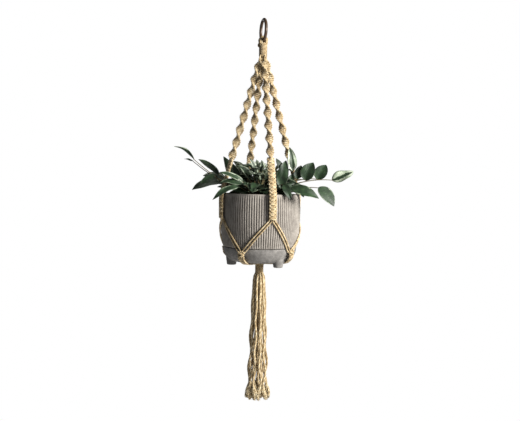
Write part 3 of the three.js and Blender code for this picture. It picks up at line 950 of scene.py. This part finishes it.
def make_feet(cement):
    """Three short feet that taper to a rounded lower edge."""
    top, bottom, edge = FEET["top"], FEET["bottom"], 1.8 * MM
    outline = [(0.4 * MM, top), (12.4 * MM, top - MM), (12 * MM, top - 7 * MM)]
    outline.append((10.2 * MM, bottom + 2 * MM))
    outline += [*arc((8.4 * MM, bottom + edge), edge, -10, -90, 5), (0.4 * MM, bottom)]
    for number, azimuth in enumerate(FEET["azimuths"], start=1):
        points, faces, crest = turned_mesh(outline, 40)
        centre = around(azimuth, FEET["reach"], 0)
        moved = [(x + centre[0], y + centre[1], z) for x, y, z in points]
        name, values = f"saucer_foot_{number}", {"crest": crest}
        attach(new_piece(name, moved, faces, cement, values), "hanger")


def make_soil(soil):
    """A crumbled surface over the root ball."""
    chance = random.Random(4)
    rings, sides = 34, 96
    points = []
    for row in range(rings + 1):
        reach = SOIL_HIGH.x * 0.995 * row / rings
        for k in range(sides):
            angle = 2 * math.pi * k / sides
            lump = chance.uniform(-1.2, 1.2) * MM if row < rings else -MM
            points.append(on_circle(reach, angle, SOIL_HIGH.z - 1.2 * MM + lump))
    points += [on_circle(SOIL_FOOT_R, 2 * math.pi * k / sides, SOIL_LOW.z) for k in range(sides)]
    faces = grid_faces(rings + 2, sides, flipped=True)
    faces.append(cap(len(points) - sides, sides, True))
    piece = new_piece("root_ball", points, faces, soil)
    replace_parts(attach(piece, "plant"), "soil")


# ---- Plant ----

# The leaves that stand clear, by gap. Each has the azimuth, reach and height of its base and of its
# tip, its width, how white it is, and how far it arches. Lengths are in millimetres.
LEAVES = {
    "front_right": [
        (28, 62, -360, 48, 60, -300, 26, 0.05, 0.06),
        (30, 62, -352, 58, 98, -378, 24, 0.08, 0.14),
        (75, 72, -322, 65, 58, -298, 17, 0.75, 0.08),
        (66, 78, -340, 72, 88, -310, 21, 0.05, 0.06),
        (60, 62, -358, 66, 70, -328, 17, 0.02, 0.06),
        (45, 57, -324, 33, 43, -296, 14, 0.05, 0.06),
        (24, 76, -352, 24, 100, -384, 18, 0.05, 0.10),
        (32, 84, -360, 44, 142, -380, 30, 0.2, 0.12),
        (68, 70, -322, 69, 62, -271, 21, 0.6, 0.06),
        (64, 98, -343, 70, 114, -303, 33, 0.03, 0.06),
        (73, 124, -341, 79, 144, -307, 30, 0.05, 0.08),
        (72, 156, -342, 75, 203, -321, 31, 0.78, 0.03),
        (54, 132, -356, 54, 166, -396, 31, 0.18, 0.05),
    ],
    "back_right": [
        (110, 92, -345, 112, 142, -325, 28, 0.4, 0.10),
        (132, 80, -352, 136, 128, -374, 30, 0.15, 0.14),
        (155, 58, -340, 158, 94, -304, 26, 0.5, 0.08),
    ],
    "back_left": [
        (-91, 147, -302, -92, 190, -275, 9, 0.4, 0.14),
        (-93, 148, -306, -94, 168, -301, 5, 0.05, 0.1),
        (-98, 68, -336, -98, 83, -293, 18, 0.05, 0.08),
        (-97, 92, -333, -95, 138, -301, 17, 0.2, 0.08),
        (-96, 94, -341, -91, 134, -352, 28, 0.05, 0.10),
        (-155, 60, -340, -152, 96, -300, 26, 0.4, 0.08),
        (-150, 78, -352, -148, 126, -380, 28, 0.1, 0.14),
        (-128, 84, -345, -126, 142, -336, 30, 0.5, 0.10),
        (-112, 92, -350, -108, 152, -368, 26, 0.2, 0.12),
        (-122, 50, -340, -122, 84, -303, 24, 0.3, 0.08),
    ],
    "front_left": [
        (-48, 80, -356, -66, 128, -386, 16, 0.25, 0.16),
        (-54, 36, -345, -58, 72, -314, 24, 0.35, 0.10),
        (-35, 36, -345, -38, 66, -326, 17, 0.6, 0.12),
        (-50, 18, -334, -60, 34, -298, 14, 0.6, 0.08),
        (-30, 55, -352, -25, 92, -370, 26, 0.15, 0.14),
        (-50, 66, -346, -70, 106, -328, 15, 0.35, 0.10),
        (-44, 72, -354, -68, 106, -350, 18, 0.3, 0.10),
        (-46, 56, -368, -66, 88, -361, 18, 0.05, 0.08),
    ],
}
# The leaves that fill each quarter: how many, degrees to either side, and ranges of reach, height,
# length, rise and width, in millimetres and radians, with how white they may be.
FILLERS = {
    "collar inside the rim": (
        22, 45, (20, 46), (-378, -358), (22, 32), (-0.1, 0.5), (13, 20), (0.02, 0.15, 0.4)),
    "over the rim": (
        9, 35, (46, 66), (-366, -352), (26, 38), (-0.3, 0.15), (13, 21), (0.02, 0.15, 0.4)),
    "dark middle": (
        9, 45, (8, 36), (-360, -336), (22, 32), (0.1, 1.0), (12, 18), (0.1, 0.4, 0.6)),
    "pale crown": (
        20, 45, (8, 46), (-344, -314), (13, 21), (0.0, 1.3), (10, 14), (0.55, 0.75, 0.85)),
}
CLEARANCE = {"middle": 19 * MM, "tip": 13 * MM}  # of a filling leaf from an arm's middle
LIFTS = (0, 20 * MM, 40 * MM)  # places in the plant's lift where its leaves have to pass the arms
FACING = {"front": -15, "back": 165}  # azimuths that the leaves' upper faces turn to
HUB = {"reach": 18 * MM, "z": -377.4 * MM}
STEM = {"r": 1.5 * MM, "arch": 4 * MM, "rise": {"left": 0.2, "right": 1.05}}


def leaf_width(t):
    """A blade's width at a share of its length, as a share of its widest place, near its base."""
    return (t**0.55 * (1 - t) ** 0.85) / (0.39**0.55 * 0.61**0.85)


class Foliage:
    """Collects leaf blades into one mesh."""

    def __init__(self):
        self.points, self.faces = [], []
        self.values = {"across": [], "vein": [], "white": [], "tone": []}

    def blade(self, base, tip, width, white, arch, facing, chance):
        rows, columns = 15, 8
        along = tip - base
        length = np.linalg.norm(along)
        lengthways = along / length
        side = np.cross(lengthways, around(facing, 1, 1))
        side /= np.linalg.norm(side)
        face = np.cross(side, lengthways)
        fold, ripple = chance.uniform(0.12, 0.3), chance.uniform(0.01, 0.035)
        bias = chance.uniform(-0.06, 0.06)
        tone, first = chance.random(), len(self.points)
        for row in range(rows + 1):
            t = row / rows
            half = 0.5 * width * leaf_width(min(max(t, 0.004), 0.996))
            sway = bias * length * math.sin(math.pi * t)
            for column in range(columns + 1):
                x = 2 * column / columns - 1
                lift = arch * length * 4 * t * (1 - t) + fold * half * abs(x)
                lift += ripple * length * math.sin(9 * t + 2.5 * x + 6 * tone) * abs(x)
                middle = base + lengthways * length * t
                self.points.append(middle + side * (half * x + sway) + face * lift)
                self.values["across"].append(x)
                self.values["vein"].append(t - 0.35 * abs(x))
                self.values["white"].append(white)
                self.values["tone"].append(tone)
        self.faces += grid_faces(rows + 1, columns + 1, first, closed=False)

    def piece(self, name, material):
        piece = new_piece(name, self.points, self.faces, material, self.values)
        thick = piece.modifiers.new("thickness", "SOLIDIFY")
        thick.thickness = 0.45 * MM
        thick.offset = 0
        finer = piece.modifiers.new("finer", "SUBSURF")
        finer.levels = finer.render_levels = 1
        return piece


def stem_spots(start, base, rise):
    """A stem's arch from the hub to a leaf's base."""
    bend = (start + base) / 2
    bend[2] = start[2] + rise * (base[2] - start[2]) + STEM["arch"]
    t = np.linspace(0, 1, 9)[:, None]
    return (1 - t) ** 2 * start + 2 * t * (1 - t) * bend + t**2 * base


def clear_of_arms(place, margin):
    """True if a place on the plant stays this far from every arm's middle while the plant lifts."""
    reaches, heights = zip(*ARM_LINE)
    for lift in LIFTS:
        z = place[2] + lift
        reach = np.interp(-z / MM, [-height for height in heights], reaches) * MM
        for azimuth in ARMS.values():
            arm = around(azimuth, reach, z)
            if math.hypot(place[0] - arm[0], place[1] - arm[1]) < margin:
                return False
    return True


def filler_leaf(azimuth, chance, half_gap, reaches, heights, lengths, rises, widths, whites):
    """One leaf at random in the given ranges, clear of the arms."""
    while True:
        turn = azimuth + chance.uniform(-half_gap, half_gap)
        reach, z = chance.uniform(*reaches) * MM, chance.uniform(*heights) * MM
        length, rise = chance.uniform(*lengths) * MM, chance.uniform(*rises)
        base = around(turn, reach, z)
        tip_reach, tip_z = reach + length * math.cos(rise), z + length * math.sin(rise)
        tip = around(turn + chance.uniform(-12, 12), tip_reach, tip_z)
        middle_clear = clear_of_arms((base + tip) / 2, CLEARANCE["middle"])
        if middle_clear and clear_of_arms(tip, CLEARANCE["tip"]):
            width = chance.uniform(*widths) * MM
            return base, tip, width, chance.choice(whites), chance.uniform(0.06, 0.14)


def make_plant(leaf, stem):
    """A spray of leaves in each gap between two arms, on stems from one place in the soil."""
    for number, (gap, azimuth) in enumerate(SPRAYS.items()):
        chance = random.Random(70 + number)
        depth, hand = gap.split("_")
        hub = around(azimuth, HUB["reach"], HUB["z"])
        foliage, stems = Foliage(), Ropework(seed=80 + number)
        blades = []
        for turn0, reach0, z0, turn1, reach1, z1, width, white, arch in LEAVES[gap]:
            base, tip = around(turn0, reach0 * MM, z0 * MM), around(turn1, reach1 * MM, z1 * MM)
            blades.append((base, tip, width * MM, white, arch))
        for count, *ranges in FILLERS.values():
            blades += [filler_leaf(azimuth, chance, *ranges) for _ in range(count)]
        for base, tip, width, white, arch in blades:
            foliage.blade(base, tip, width, white, arch, FACING[depth], chance)
            spots = stem_spots(hub, base + (tip - base) * 0.05, STEM["rise"][hand])
            line = smooth_line(spots, 3 * MM)
            taper = np.linspace(1.1, 0.6, len(line))
            stems.cord(line, radius=STEM["r"], plies=1, per_ply=8, depth=0.0, taper=taper)
        piece = foliage.piece(f"leaves_{gap}", leaf)
        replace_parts(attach(piece, "plant"), f"leaf_spray_{gap}")
        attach(stems.piece(f"stems_{gap}", stem, "leaf"), "plant")


# ---- Build ----

make_camera()
cotton = cotton_paint()
make_tassel(cotton)
make_world()
make_stage()
make_arms(cotton)
make_ring(wood_paint())
make_head_loops(cotton)
make_wraps(cotton)
make_crown(cotton)
make_cradle_cords(cotton)
make_gather_knots(cotton)
make_under_cords(cotton)
make_pot(ribbed_cement_paint())
smooth_cement = smooth_cement_paint()
make_saucer(smooth_cement)
make_feet(smooth_cement)
make_soil(soil_paint())
make_plant(leaf_paint(), stem_paint())
